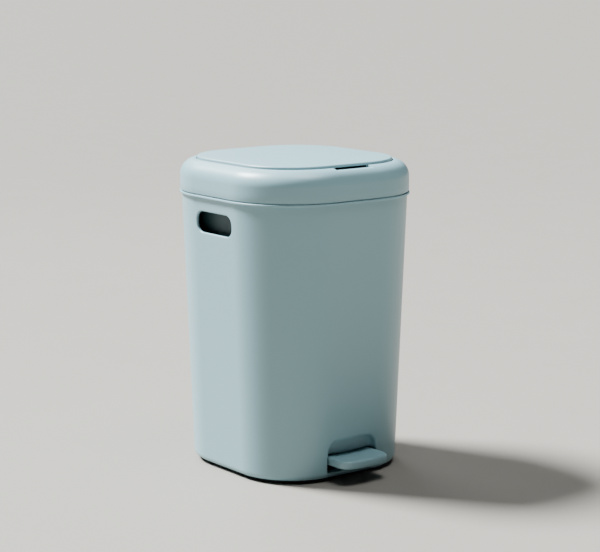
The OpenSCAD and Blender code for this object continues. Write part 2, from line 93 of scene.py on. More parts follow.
def outline(s):
    """Corner centre and outward normal at distance s, from the front middle towards +X."""
    s = float(s) % LOOP
    for length, start, angle, turn in RUNS:
        if s <= length + 1e-6:
            a = math.radians(angle + turn * s / length)
            n = np.array([math.cos(a), math.sin(a)])
            c = np.array(start, float)
            if not turn:
                c = c + s * np.array([-n[1], n[0]])
            return c, n
        s -= length
    return np.array([0.0, -FLAT_Y]), np.array([0.0, -1.0])


def column(s, rows):
    """Points of the profile rows (offset, height) at distance s along the outline."""
    c, n = outline(s)
    return np.array([[c[0] + n[0] * (CORNER + o), c[1] + n[1] * (CORNER + o), z] for o, z in rows])


def rear_column(x, rows):
    """Points of the profile rows at a given x in the rear."""
    d = max(0.0, abs(x) - FLAT_X)
    return np.array([[x, FLAT_Y + math.sqrt((CORNER + o) ** 2 - d * d), z] for o, z in rows])


def stations(extra=()):
    """Distances along the outline for the columns of a sweep, denser round the corners."""
    out = set()
    start = 0.0
    for length, _, _, turn in RUNS:
        count = 36 if turn else max(2, round(length / 12))
        out.update(round(start + length * k / count, 4) for k in range(count))
        start += length
    out.update(round(e % LOOP, 4) for e in extra)
    out = sorted(out)
    return [v for k, v in enumerate(out) if k == 0 or v - out[k - 1] > 0.05]


def span(a, b, step):
    """Evenly spaced values from a to b, both included."""
    return list(np.linspace(a, b, max(2, int(round(abs(b - a) / step)) + 1)))


def arc(cx, cy, r, a0, a1, n=8):
    """Points of an arc from a0 to a1 degrees, both included."""
    return [(cx + r * math.cos(math.radians(a)), cy + r * math.sin(math.radians(a)))
            for a in np.linspace(a0, a1, n + 1)]


# ---- meshes ----

class Net:
    """Collects points and faces in millimetres and turns them into one smooth mesh."""

    def __init__(self):
        self.points = []
        self.faces = []

    def add(self, points):
        first = len(self.points)
        self.points.extend(tuple(p) for p in np.asarray(points, float).reshape(-1, 3))
        return first

    def loft(self, rings, around=False, along=False, keep=None):
        """Skins a list of equally long point rows.

        around joins each row's ends, along joins the first and last row.
        """
        rings = np.asarray(rings, float)
        count, width = rings.shape[:2]
        first = self.add(rings)
        for i in range(count if along else count - 1):
            a = first + i * width
            b = first + ((i + 1) % count) * width
            for j in range(width if around else width - 1):
                k = (j + 1) % width
                if keep is None or keep(i, j):
                    self.faces.append((a + j, a + k, b + k, b + j))

    def cap(self, ring):
        first = self.add(ring)
        self.faces.append(tuple(range(first, first + len(ring))))

    def fan(self, ring, centre):
        first = self.add(ring)
        middle = self.add([centre])
        n = len(ring)
        self.faces.extend((first + k, first + (k + 1) % n, middle) for k in range(n))

    def solid(self, bm):
        """Takes over the faces of a bmesh given in millimetres."""
        bm.verts.index_update()
        first = self.add([v.co[:] for v in bm.verts])
        self.faces.extend(tuple(first + v.index for v in f.verts) for f in bm.faces)
        bm.free()

    def make(self, name, angle=32, weld=0.02):
        bm = bmesh.new()
        verts = [bm.verts.new([c * 0.001 for c in p]) for p in self.points]
        for f in self.faces:
            loop = [verts[i] for i in f]
            if len(set(loop)) > 2:
                try:
                    bm.faces.new(loop)
                except ValueError:
                    pass  # the same face twice
        bmesh.ops.remove_doubles(bm, verts=bm.verts, dist=weld * 0.001)
        bmesh.ops.dissolve_degenerate(bm, edges=bm.edges, dist=weld * 0.0004)
        bmesh.ops.recalc_face_normals(bm, faces=bm.faces)
        mesh = bpy.data.meshes.new(name)
        bm.to_mesh(mesh)
        bm.free()
        for p in mesh.polygons:
            p.use_smooth = True
        mesh.set_sharp_from_angle(angle=math.radians(angle))
        obj = bpy.data.objects.new(name, mesh)
        bpy.context.scene.collection.objects.link(obj)
        return obj


def prism(shape, place, lo, hi, round_by=0.0, segments=3):
    """A prism of a 2-D shape between lo and hi, with its sharp edges rounded.

    place maps (u, v, w) to a point.
    """
    bm = bmesh.new()
    ends = [[bm.verts.new(place(u, v, w)) for u, v in shape] for w in (lo, hi)]
    n = len(shape)
    bm.faces.new(ends[0][::-1])
    bm.faces.new(ends[1])
    for k in range(n):
        bm.faces.new((ends[0][k], ends[0][(k + 1) % n], ends[1][(k + 1) % n], ends[1][k]))
    bmesh.ops.recalc_face_normals(bm, faces=bm.faces)
    if round_by:
        sharp = [e for e in bm.edges if e.calc_face_angle(0) > math.radians(25)]
        bmesh.ops.bevel(bm, geom=sharp, offset=round_by, segments=segments, profile=0.5,
                        affect="EDGES", clamp_overlap=True)
    return bm


def lathe(net, profile, centre, axis, count=40):
    """Turns a closed profile of (radius, distance along the axis) about an axis through centre."""
    axis = Vector(axis).normalized()
    u = axis.orthogonal().normalized()
    v = axis.cross(u)
    rings = []
    for k in range(count):
        a = 2 * math.pi * k / count
        side = u * math.cos(a) + v * math.sin(a)
        rings.append([tuple(Vector(centre) + side * r + axis * d) for r, d in profile])
    net.loft(rings, around=True, along=True)


def tube_profile(inner, outer, a, b, edge=0.5):
    """Closed lathe profile of a bored drum from a to b with rounded outer edges."""
    r = outer - edge
    return ([(inner, a), (r, a)] + arc(r, a + edge, edge, -90, 0, 4)[1:] +
            arc(r, b - edge, edge, 0, 90, 4)[1:] + [(inner, b)])


# ---- shell ----

FILLET = 2.3
BEAD_R = 1.2
COVE_R = 8.5
PLATE_REACH = 1.5
FOOT = 16.5
SHELL_LOW = 6.0
RECESS_WIN = (-80.0, 80.0, FOOT, 96.0)
HOLE_WIN = (-70.0, 70.0, 430.0, 503.0)
HOLE_MIDS = (SIDE, LOOP - SIDE)
WINDOWS = ((RECESS_WIN, 0.0),) + tuple((HOLE_WIN, mid) for mid in HOLE_MIDS)
BOSS_X, BOSS_Y = 115, 123
GUIDE_X = 16
GUIDE_BOSSES = ((110, 167), (470, 176))


def polyline(shape_points):
    """Points and outward normals along a closed outline given as straight runs and arcs."""
    pts, normals = [], []
    for kind, data in shape_points:
        if kind == "arc":
            cx, cy, r, a0, a1 = data
            for a in np.linspace(a0, a1, 49)[:-1]:
                c, s = math.cos(math.radians(a)), math.sin(math.radians(a))
                pts.append((cx + r * c, cy + r * s))
                normals.append((c, s))
        else:
            x0, y0, x1, y1 = data
            length = math.hypot(x1 - x0, y1 - y0)
            for t in np.linspace(0, 1, max(3, int(length / 0.5)))[:-1]:
                pts.append((x0 + t * (x1 - x0), y0 + t * (y1 - y0)))
                normals.append(((y1 - y0) / length, -(x1 - x0) / length))
    return np.array(pts), np.array(normals)


def rounded_outline(x0, x1, y0, y1, r):
    """A rounded rectangle, anticlockwise."""
    left, right, low, high = x0 + r, x1 - r, y0 + r, y1 - r
    return polyline([
        ("run", (left, y0, right, y0)), ("arc", (right, low, r, -90, 0)),
        ("run", (x1, low, x1, high)), ("arc", (right, high, r, 0, 90)),
        ("run", (right, y1, left, y1)), ("arc", (left, high, r, 90, 180)),
        ("run", (x0, high, x0, low)), ("arc", (left, low, r, 180, 270))])


def ease(t):
    """Smooth step from 0 to 1."""
    t = min(1.0, max(0.0, t))
    return t * t * (3 - 2 * t)


def recess_half(z):
    """Half width of the pedal recess at height z, wider in the slot below it."""
    return SLOT_HALF - (SLOT_HALF - RECESS_HALF) * ease((z - SLOT_TOP + 4) / 7)


def recess_outline():
    """Points and outward normals of the recess with the slot below it, anticlockwise."""
    step = 0.5
    side = [(recess_half(z), z)
            for z in np.arange(RECESS_LOW + SLOT_CORNER, RECESS_TOP - RECESS_CORNER, step)]
    right = arc(SLOT_HALF - SLOT_CORNER, RECESS_LOW + SLOT_CORNER, SLOT_CORNER, -90, 0, 12)
    flat = RECESS_HALF - RECESS_CORNER
    right += side[1:] + arc(flat, RECESS_TOP - RECESS_CORNER, RECESS_CORNER, 0, 90, 60)
    top = [(x, RECESS_TOP) for x in np.arange(flat - step, -flat, -step)]
    low = [(x, RECESS_LOW)
           for x in np.arange(SLOT_CORNER + step - SLOT_HALF, SLOT_HALF - SLOT_CORNER, step)]
    pts = np.array(right + top + [(-x, z) for x, z in right[::-1]] + low)
    tangent = np.roll(pts, -1, 0) - np.roll(pts, 1, 0)
    normals = np.stack([tangent[:, 1], -tangent[:, 0]], 1)
    return pts, normals / np.hypot(*normals.T)[:, None]


def nearest(border, pts, normals):
    """For each border point, the nearest outline point and its normal."""
    hit = [int(np.argmin(((pts - b) ** 2).sum(1))) for b in border]
    return pts[hit], normals[hit]


def window_border(s_values, z_values, s0, s1, z0, z1):
    """Grid points round a window, anticlockwise, as (s, z)."""
    s_in = [s for s in s_values if s0 - 0.01 <= s <= s1 + 0.01]
    z_in = [z for z in z_values if z0 - 0.01 <= z <= z1 + 0.01]
    return ([(s, z_in[0]) for s in s_in] + [(s_in[-1], z) for z in z_in[1:]] +
            [(s, z_in[-1]) for s in s_in[::-1][1:]] + [(s_in[0], z) for z in z_in[::-1][1:-1]])


def front_y(x, z, inward):
    """Depth of the shell's front skin at x and z."""
    r = CORNER + wall_off(z) - inward
    d = max(0.0, abs(x) - FLAT_X)
    return -(FLAT_Y + math.sqrt(r * r - d * d))


def skin(s, z, inward):
    """Point of the shell's skin at distance s and height z, moved inward."""
    return column(s, [(float(wall_off(z)) - inward, z)])[0]


def pedal_dip(x, y):
    """How far the hollow of the pedal's top lies below its edge."""
    return 2.4 * ease((50.4 - abs(x)) / 34) * ease((y + 219) / 36)


def quarter_round(r):
    """Section of a rounded edge as (distance from the outline, depth)."""
    return [(r * (1 - math.sin(t)), r * (1 - math.cos(t))) for t in np.linspace(0, math.pi / 2, 8)]


def shell_grid():
    """Distances along the outline and heights of the shell's grid, finer round the openings."""
    front = span(-80, -38, 2.5) + span(38, 80, 2.5) + span(-38, 38, 8)
    hole = span(-70, -32, 2.5) + span(32, 70, 2.5) + span(-32, 32, 8)
    s_all = stations(front + [mid + v for mid in HOLE_MIDS for v in hole])
    z_all = sorted(set([FOOT] + span(20, 60, 4) + span(60, 96, 2.4) + span(96, 430, 36) +
                       span(430, 503, 2.4) + [507.0, 510.5]))
    return s_all, z_all


def from_middle(s, mid):
    """Signed distance along the outline from mid."""
    return (s - mid + LOOP / 2) % LOOP - LOOP / 2


def in_window(s, z):
    """Whether a point of the shell's skin lies in one of its openings."""
    return any(s0 < from_middle(s, mid) < s1 and z0 < z < z1 for (s0, s1, z0, z1), mid in WINDOWS)


def hand_hole(net, mid, s_all, z_all):
    """The rolled edge of one hand hole, inside its window in the shell's grid."""
    s_win = sorted(from_middle(s, mid) for s in s_all)
    border = window_border(s_win, z_all, *HOLE_WIN)
    pts, normals = rounded_outline(-HOLE_W / 2, HOLE_W / 2, HOLE_Z - HOLE_H / 2,
                                   HOLE_Z + HOLE_H / 2, HOLE_R)
    near, normal = nearest(np.array(border), pts, normals)
    section = [(14, 0), (7, 0)] + quarter_round(FILLET)
    section += [(0, 3.2), (0, 4.2), (0.25, 4.75), (0.8, 5), (1.7, 5), (2.25, 4.75), (2.5, 4.2),
                (2.5, WALL), (9, WALL)]
    rings = [[skin(mid + s, z, 0) for s, z in border]]
    for g, n in section:
        ring = near + normal * g
        if g > 10:
            ring = (ring + np.array(border)) / 2
        rings.append([skin(mid + s, z, n) for s, z in ring])
    rings.append([skin(mid + s, z, WALL) for s, z in border])
    net.loft(rings, around=True)


def pedal_recess(net, s_all, z_all):
    """The shell's skin turned in round the pedal recess, on to the shell's inside."""
    s_win = sorted(s if s <= LOOP / 2 else s - LOOP for s in s_all)
    border = window_border(s_win, z_all, *RECESS_WIN)
    place = [skin(s, z, 0) for s, z in border]
    flat = np.array([(p[0], p[2]) for p in place])
    near, normal = nearest(flat, *recess_outline())

    # the edge's radius, tight beside the slot, wide round the top, nearly none at the bottom
    rise = np.clip((near[:, 1] - SLOT_TOP + 6) / 16, 0, 1)
    edge = (0.7 + 3.1 * rise * rise * (3 - 2 * rise))[:, None]
    edge = np.where(near[:, 1:] < RECESS_LOW + 0.02, 0.09, edge)

    def tray(g, n, share=0.0):
        """One ring at distance g and depth n, drawn towards the window's border by share."""
        ring = (near + normal * g) * (1 - share) + flat * share
        depth = np.broadcast_to(n, edge.shape)[:, 0]
        return [(x, front_y(x, z, 0) + d, z) for (x, z), d in zip(ring, depth)]

    rings = [place, tray(edge, 0, 0.5)] + [tray(g, n) for g, n in quarter_round(edge)]
    rings.append([(x, (y + RECESS_BACK) / 2, z) for x, y, z in rings[-1]])
    for g, d in ((0, -0.6), (0.2, -0.1), (0.6, 0), (2.2, 0), (2.6, -0.4)):
        rings.append([(x, RECESS_BACK + d, z) for x, z in near + normal * g])
    rings.append([(x, min(front_y(x, z, WALL - 0.5), RECESS_BACK - 1), z)
                  for x, z in near + normal * 2.6])
    rings.append([skin(s, z, WALL) for s, z in border])
    net.loft(rings, around=True)


def recess_plate(net):
    """Back plate of the recess, above the slot."""
    half, r, top_z = RECESS_HALF + PLATE_REACH, RECESS_CORNER + 1, RECESS_TOP + PLATE_REACH
    wide = recess_half(SLOT_TOP) + PLATE_REACH
    flank = [(recess_half(z) + PLATE_REACH, z) for z in (49, 50, 51, 52)]
    plate = [(x, SLOT_TOP - 0.8 * pedal_dip(x, -RECESS_Y)) for x in span(-wide, wide, 5)] + flank
    plate += arc(half - r, top_z - r, r, 0, 90, 12) + arc(-half + r, top_z - r, r, 90, 180, 12)
    plate += [(-x, z) for x, z in flank[::-1]]
    net.solid(prism(plate, lambda u, v, w: (u, w, v), -RECESS_Y, RECESS_BACK, 0.9))


def recess_cove(net):
    """The hollow curve from the recess's sides and top into its back plate."""
    pts, normals = recess_outline()
    above = pts[:, 1] > SLOT_TOP + 3.2
    path, side = pts[above], normals[above]
    start = int(np.argmax(np.hypot(*(path - np.roll(path, 1, axis=0)).T)))
    path, side = np.roll(path, -start, axis=0)[::2], np.roll(side, -start, axis=0)[::2]
    ends = np.array([[RECESS_HALF, SLOT_TOP + 0.4], [-RECESS_HALF, SLOT_TOP + 0.4]])
    path = np.vstack([ends[:1], path, ends[1:]])
    side = np.vstack([[[1.0, 0.0]], side, [[-1.0, 0.0]]])
    curve = [(1.4, -COVE_R - 0.02)]
    curve += [(-COVE_R * (1 - math.cos(a)), -COVE_R * (1 - math.sin(a)))
              for a in np.linspace(0, math.pi / 2, 9)]
    curve += [(-COVE_R, 0.4), (1.4, 0.4)]
    rings = [[(p[0] + n[0] * g, -RECESS_Y + d, p[1] + n[1] * g) for g, d in curve]
             for p, n in zip(path, side)]
    net.loft(rings, around=True)
    net.cap(rings[0])
    net.cap(rings[-1])


def shell_bosses(net):
    """Screw bosses with ribs, and the bosses of the rod guides."""
    for sx in (-1, 1):
        for sy in (-1, 1):
            x, y, a = sx * BOSS_X, sy * BOSS_Y, math.atan2(sy, sx)

            def place(u, v, w):
                return (x + u * math.cos(a) - w * math.sin(a),
                        y + u * math.sin(a) + w * math.cos(a), v)

            lathe(net, tube_profile(2.0, 6.0, 7, 40, 0.8), (x, y, 0), (0, 0, 1))
            net.solid(prism([(5.5, 13), (24, 13), (24, 40), (5.5, 38)], place, -1.5, 1.5, 0.5))
    for z, y in GUIDE_BOSSES:
        reach = HALF_D + float(wall_off(z)) - 1.5
        for side in (-1, 1):
            lathe(net, tube_profile(2.0, 5.0, y, reach, 0.4), (side * GUIDE_X, 0, z), (0, 1, 0), 28)


def build_shell():
    net = Net()
    s_all, z_all = shell_grid()
    turn = FOOT - SHELL_LOW
    low = float(wall_off(FOOT)) - turn
    outer = [(float(wall_off(z)), z) for z in z_all]
    bead = [(-3.2, 510.7), (-1.2, 511.0)]
    bead += arc(0, 512.3, BEAD_R, -75, 0, 6) + arc(0, 513.8, BEAD_R, 0, 90, 6) + [(-1.4, 515.0)]
    rim = float(wall_off(SEAM))
    top = [(float(wall_off(515)), 515.0), (rim, 517.2), (rim - 0.3, SEAM), (rim - 2.7, SEAM),
           (rim - 3, 517.2)]
    inner = [(float(wall_off(z)) - WALL, z) for z in z_all[::-1]]
    foot_in = arc(low, FOOT, turn - WALL, 0, -90, 10)[1:]
    foot_out = arc(low, FOOT, turn, -90, 0, 16)[:-1]
    rows = foot_out + outer + bead + top + inner + foot_in
    rings = np.array([column(s, rows) for s in s_all]).transpose(1, 0, 2)
    first_outer = len(foot_out)
    first_inner = first_outer + len(outer) + len(bead) + len(top)
    s_next = s_all[1:] + [s_all[0] + LOOP]
    mid_s = [(a + b) / 2 for a, b in zip(s_all, s_next)]

    def keep(i, j):
        """Leaves out the faces of the outer and inner skin that lie in an opening."""
        on_skin = (first_outer <= i < first_outer + len(outer) - 1 or
                   first_inner <= i < first_inner + len(inner) - 1)
        return not (on_skin and in_window(mid_s[j], (rows[i][1] + rows[i + 1][1]) / 2))

    net.loft(rings, around=True, along=True, keep=keep)
    for mid in HOLE_MIDS:
        hand_hole(net, mid, s_all, z_all)
    pedal_recess(net, s_all, z_all)
    recess_plate(net)
    recess_cove(net)
    shell_bosses(net)
    return net.make("shell_skin")


# ---- lid frame ----

SHOULDER = 30.0
SHOULDER_IN = SHOULDER - WALL
SHOULDER_Z = CREST - SHOULDER
LEDGE = 555.0
BAY_HALF = 62.0
BAY_FLOOR = 548.0
BAY_CLEAR = 22
NOTCH_Z = CREST - 4
NOTCH_HALF, NOTCH_RAMP = 41.5, 0.8
NOTCH_ROOF = CREST + 3
SKIRT = -6.9
SKIRT_LOW = 503.5

# rows shared by the frame's two sections: the outside up from the seam, and the skirt within
RIM_ROWS = [(-0.5, SEAM), (-0.15, SEAM + 0.15), (0.0, SEAM + 0.6), (0.0, 530.0)]
SKIRT_ROWS = [(-3.0, SEAM + 3.4), (-3.4, SEAM + 3.0), (SKIRT - 2.2, SEAM + 3.0),
              (SKIRT - 2.6, SEAM + 2.6), (SKIRT - 2.6, SKIRT_LOW + 0.5), (SKIRT - 2.1, SKIRT_LOW),
              (SKIRT - 0.5, SKIRT_LOW), (SKIRT, SKIRT_LOW + 0.5), (SKIRT, SEAM - 0.4),
              (SKIRT + 0.4, SEAM)]


def soft_min(a, b, blend):
    """The smaller of two heights, rounded over where they meet."""
    h = max(0.0, blend - abs(a - b)) / blend
    return min(a, b) - h * h * blend / 4


def notch_top(x, off):
    """Height of the cut that makes the finger notch at x and offset off."""
    cut = NOTCH_ROOF - (NOTCH_ROOF - NOTCH_Z) * ease((NOTCH_HALF - abs(x)) / NOTCH_RAMP)
    return cut + max(0.0, off + 18.0) * 0.5


def notched(x, z, off):
    """Height of a point of the front rim once the finger notch is cut."""
    radius = math.hypot(off + SHOULDER, z - SHOULDER_Z)
    inside = abs(radius - SHOULDER_IN) < 0.3 and z < CREST - 2.5
    return soft_min(z, notch_top(x, off) - (3.2 if inside else 0.0), 1.6)


def frame_rows():
    """Closed section of the lid frame as (offset, height)."""
    rows = RIM_ROWS + arc(-SHOULDER, SHOULDER_Z, SHOULDER, 0, 88, 26)
    rows += arc(-SHOULDER + 1.0, CREST - 1.0, 1.0, 88, 180, 5)[1:]
    rows += [(-SHOULDER, 566.0), (-SHOULDER, LEDGE + 0.6), (-SHOULDER - 0.2, LEDGE + 0.2),
             (-SHOULDER - 0.6, LEDGE), (-39.2, LEDGE), (-39.8, LEDGE - 0.3), (-40.0, LEDGE - 0.9),
             (-40.0, LEDGE - 2.4), (-39.4, LEDGE - 3.0), (-27.4, LEDGE - 3.0)]
    return rows + arc(-SHOULDER, SHOULDER_Z, SHOULDER_IN, 84, 0, 14) + SKIRT_ROWS


def bay_rows():
    """Closed section of the lower part behind the hinge."""
    lip = arc(-SHOULDER, SHOULDER_Z, SHOULDER, 0, 37, 12)
    under = arc(-SHOULDER, SHOULDER_Z, SHOULDER_IN, 28, 8, 6)
    rows = RIM_ROWS + lip + [(-6.6, lip[-1][1] + 0.1), (-6.6, under[0][1] - 0.4)] + under
    rows += [(-4.0, BAY_FLOOR), (-27.6, BAY_FLOOR), (-28.5, BAY_FLOOR - 0.9),
             (-28.5, BAY_FLOOR - 2.2), (-27.7, BAY_FLOOR - 3.0), (-3.8, BAY_FLOOR - 3.0),
             (-3.0, BAY_FLOOR - 3.8)]
    return rows + SKIRT_ROWS


def build_frame():
    net = Net()
    rows = frame_rows()
    s_all = stations(span(-60, 60, 1.2) + [e * v for e in (-1, 1) for v in span(40.5, 41.7, 0.2)])
    edge_s = SIDE + FLAT_Y + QUARTER - math.asin(BAY_CLEAR / CORNER) * REF
    around = [rear_column(x, rows) for x in (BAY_HALF, 64, 67)]
    order = [s for s in s_all[::-1] if s < edge_s] + [s for s in s_all[::-1] if s > LOOP - edge_s]
    for s in order:
        line = column(s, rows)
        _, n = outline(s)
        for p, (o, z) in zip(line, rows):
            if n[1] < -0.98 and abs(p[0]) < 50 and z > 560 and o > -33:
                p[2] = notched(p[0], z, o)
        around.append(line)
    around += [rear_column(x, rows) for x in (-67, -64, -BAY_HALF)]
    bay = [rear_column(x, bay_rows()) for x in span(-BAY_HALF, BAY_HALF, 6)]
    for cols in (around, bay):
        net.loft(cols, around=True)
        net.cap(cols[0])
        net.cap(cols[-1])

    # the walls at the two ends of the bay
    y = HALF_D - SHOULDER
    wall = [(y, BAY_FLOOR - 3), (y, CREST - 1.5)] + arc(y, SHOULDER_Z, SHOULDER - 1.5, 86, 0, 16)
    wall += [(y + SHOULDER - 1.5, BAY_FLOOR - 3)]
    for side in (-1, 1):
        a, b = sorted((side * (BAY_HALF - 0.05), side * (BAY_HALF + 3)))
        net.solid(prism(wall, lambda u, v, w: (w, u - 0.9, v), a, b, 0.4))
    return net.make("lid_frame_skin")


# ---- lid ----

LID_OFF = -32.0
LID_Z = 579.0
LID_LOW, LID_LOW_CUT = 560.0, 573.5
CROWN = 2.0
LID_EDGE = 3.0
LID_BOSS_TOP = 577.0
HINGE_X, HINGE_Y, HINGE_Z = 40, 178.0, 566.0
REAR_MID = SIDE + FLAT_Y + QUARTER + FLAT_X


def lid_low(s):
    """Height of the lid's lower edge, cut away at the notch, the crank and the bay's walls."""
    c, n = outline(s)
    rear = abs(s - REAR_MID)
    at_notch = n[1] < -0.98 and abs(c[0] + n[0] * (CORNER + LID_OFF)) < 38.5
    at_rear = n[1] > 0.5 and (rear < 16.1 or 60.5 < rear < 88.5)
    return LID_LOW_CUT if at_notch or at_rear else LID_LOW


def build_lid():
    net = Net()
    s_all = stations(span(-42, 42, 3) + [side * d for side in (-1, 1) for d in (38.4, 38.6)] +
                     [REAR_MID + side * d for side in (-1, 1) for d in (16, 16.2, 60, 61, 88, 89)])
    reach = CORNER + LID_OFF - LID_EDGE
    top = [(-CORNER + reach * t, LID_Z + CROWN * (1 - t * t))
           for t in (0, 0.1, 0.22, 0.36, 0.5, 0.64, 0.78, 0.9, 0.97)]
    top += arc(LID_OFF - LID_EDGE, LID_Z - LID_EDGE, LID_EDGE, 90, 0, 9)
    cols = []
    for s in s_all:
        low = lid_low(s)
        cols.append(column(s, top + [
            (LID_OFF, (low + LID_Z) / 2 - 1.5), (LID_OFF, low + 0.6), (LID_OFF - 0.5, low),
            (LID_OFF - 2.0, low), (LID_OFF - 2.5, low + 0.5), (LID_OFF - 2.5, min(low + 9, 575.4)),
            (LID_OFF - 3.2, LID_Z - 3.2), (LID_OFF - 4.2, LID_Z - 3), (-CORNER + 50, LID_Z - 3),
            (-CORNER, LID_Z - 3)]))
    rings = np.array(cols).transpose(1, 0, 2)
    net.loft(rings, around=True)
    net.cap(rings[0])
    net.cap(rings[-1])

    # rear tab, hinge knuckles and the screw bosses of the liner and the crank
    tab = [(161, 575.8), (161, 578), (165, 578), (171, 575.5), (180.5, 574.5), (182.5, 573),
           (182.5, 571.5), (168, 571.5)]
    net.solid(prism(tab, lambda u, v, w: (w, u, v), -56, 56, 0.7, 4))
    neck = [(HINGE_Y - 4, HINGE_Z + 3), (HINGE_Y + 4, HINGE_Z + 3), (HINGE_Y + 4, 573),
            (HINGE_Y - 4, 573)]
    for side in (-1, 1):
        x = side * HINGE_X
        lathe(net, tube_profile(2.06, 6.0, x - 6.5, x + 6.5), (0, HINGE_Y, HINGE_Z), (1, 0, 0), 48)
        net.solid(prism(neck, lambda u, v, w: (w, u, v), x - 6.3, x + 6.3, 0.4))
    liner = tube_profile(2.0, 5.0, 564.5, LID_BOSS_TOP, 0.4)
    crank = tube_profile(2.0, 6.0, LID_Z - 12.5, LID_BOSS_TOP, 0.4)
    for sx in (-1, 1):
        for sy in (-1, 1):
            lathe(net, liner, (sx * 96, sy * 70, 0), (0, 0, 1), 32)
    for y in (140, 118):
        lathe(net, crank, (0, y, 0), (0, 0, 1), 32)
    return net.make("lid_skin")


# ---- pedal ----

PEDAL_TOP, PEDAL_LOW = 46.0, 31.7
PEDAL_HALF, PEDAL_FRONT, PEDAL_BACK = 53.4, 224.98, 152.0
PEDAL_BOW, PEDAL_CORNER, PEDAL_HEEL, PEDAL_EDGE = 5, 22.0, 2, 3.8
STRIP_TOP, STRIP_HALF = 34.7, 15.0
STRIP_ROOF = STRIP_TOP + 0.03


def pedal_outline():
    """Evenly spaced points and outward normals of the pad seen from above, front edge bowed."""
    bow_r = (PEDAL_HALF ** 2 + PEDAL_BOW ** 2) / (2 * PEDAL_BOW)
    r, heel, bow_y = PEDAL_CORNER, PEDAL_HEEL, bow_r - PEDAL_FRONT
    cx = PEDAL_HALF - r
    cy = bow_y - math.sqrt((bow_r - r) ** 2 - cx ** 2)
    lean = math.degrees(math.atan2(cy - bow_y, cx))
    side = [(PEDAL_HALF, y) for y in np.linspace(cy, -PEDAL_BACK - heel, 20)][1:]
    back = [(x, -PEDAL_BACK) for x in np.linspace(PEDAL_HALF - 4, 4 - PEDAL_HALF, 40)]
    pts = arc(0, bow_y, bow_r, -180 - lean, lean, 40) + arc(cx, cy, r, lean, 0, 30)[1:] + side
    pts += arc(PEDAL_HALF - heel, -PEDAL_BACK - heel, heel, 0, 90, 5)[1:] + back
    pts += arc(heel - PEDAL_HALF, -PEDAL_BACK - heel, heel, 90, 180, 5)[1:]
    pts += [(-x, y) for x, y in side[::-1]][1:]
    pts += arc(-cx, cy, r, 180, 360 - 180 - lean, 30)[:-1]
    pts = np.array(pts)
    loop = np.vstack([pts, pts[:1]])
    length = np.concatenate([[0], np.cumsum(np.hypot(*np.diff(loop, axis=0).T))])
    even = np.linspace(0, length[-1], 401)[:-1]
    pts = np.stack([np.interp(even, length, loop[:, k]) for k in (0, 1)], 1)
    tangent = np.roll(pts, -1, 0) - np.roll(pts, 1, 0)
    normal = np.stack([tangent[:, 1], -tangent[:, 0]], 1)
    return pts, normal / np.hypot(*normal.T)[:, None]


def build_pedal():
    net = Net()
    pts, normal = pedal_outline()

    def ring(g, z, share=0.0):
        """One ring of the pad. The lever's strip leaves through a notch in the rear edge."""
        out = []
        for x, y in pts + normal * g:
            notch = abs(x) < STRIP_HALF + 1.6 and y > -PEDAL_BACK - 6
            out.append((x, y, max(z, STRIP_ROOF) if notch else z - share * pedal_dip(x, y)))
        return out

    rings = [ring(-3.0, STRIP_ROOF), ring(-3.0, PEDAL_LOW + 0.4), ring(-2.4, PEDAL_LOW)]
    rings += [ring(-1.2, PEDAL_LOW), ring(-0.35, PEDAL_LOW + 0.35), ring(0, PEDAL_LOW + 1.2)]
    rings.append(ring(0, 38))
    rings += [ring(-PEDAL_EDGE * (1 - math.cos(t)), PEDAL_TOP - PEDAL_EDGE * (1 - math.sin(t)),
                   math.sin(t)) for t in np.linspace(0, math.pi / 2, 11)]
    inner = pts - normal * PEDAL_EDGE
    middle = np.array([0.0, -188.0])
    for t in (0.97, 0.93, 0.88, 0.82, 0.75, 0.67, 0.58, 0.48, 0.38, 0.28, 0.18, 0.08):
        ring_in = middle + (inner - middle) * t
        rings.append([(x, y, PEDAL_TOP - pedal_dip(x, y)) for x, y in ring_in])
    net.loft(rings, around=True)
    net.fan(rings[-1], (*middle, PEDAL_TOP - pedal_dip(*middle)))
    net.fan(rings[0], (*middle, STRIP_ROOF))
    return net.make("pedal_skin")


# ---- materials ----

PLASTIC_IOR = 1.46
def link(tree, out, inp):
    tree.links.new(out, inp)


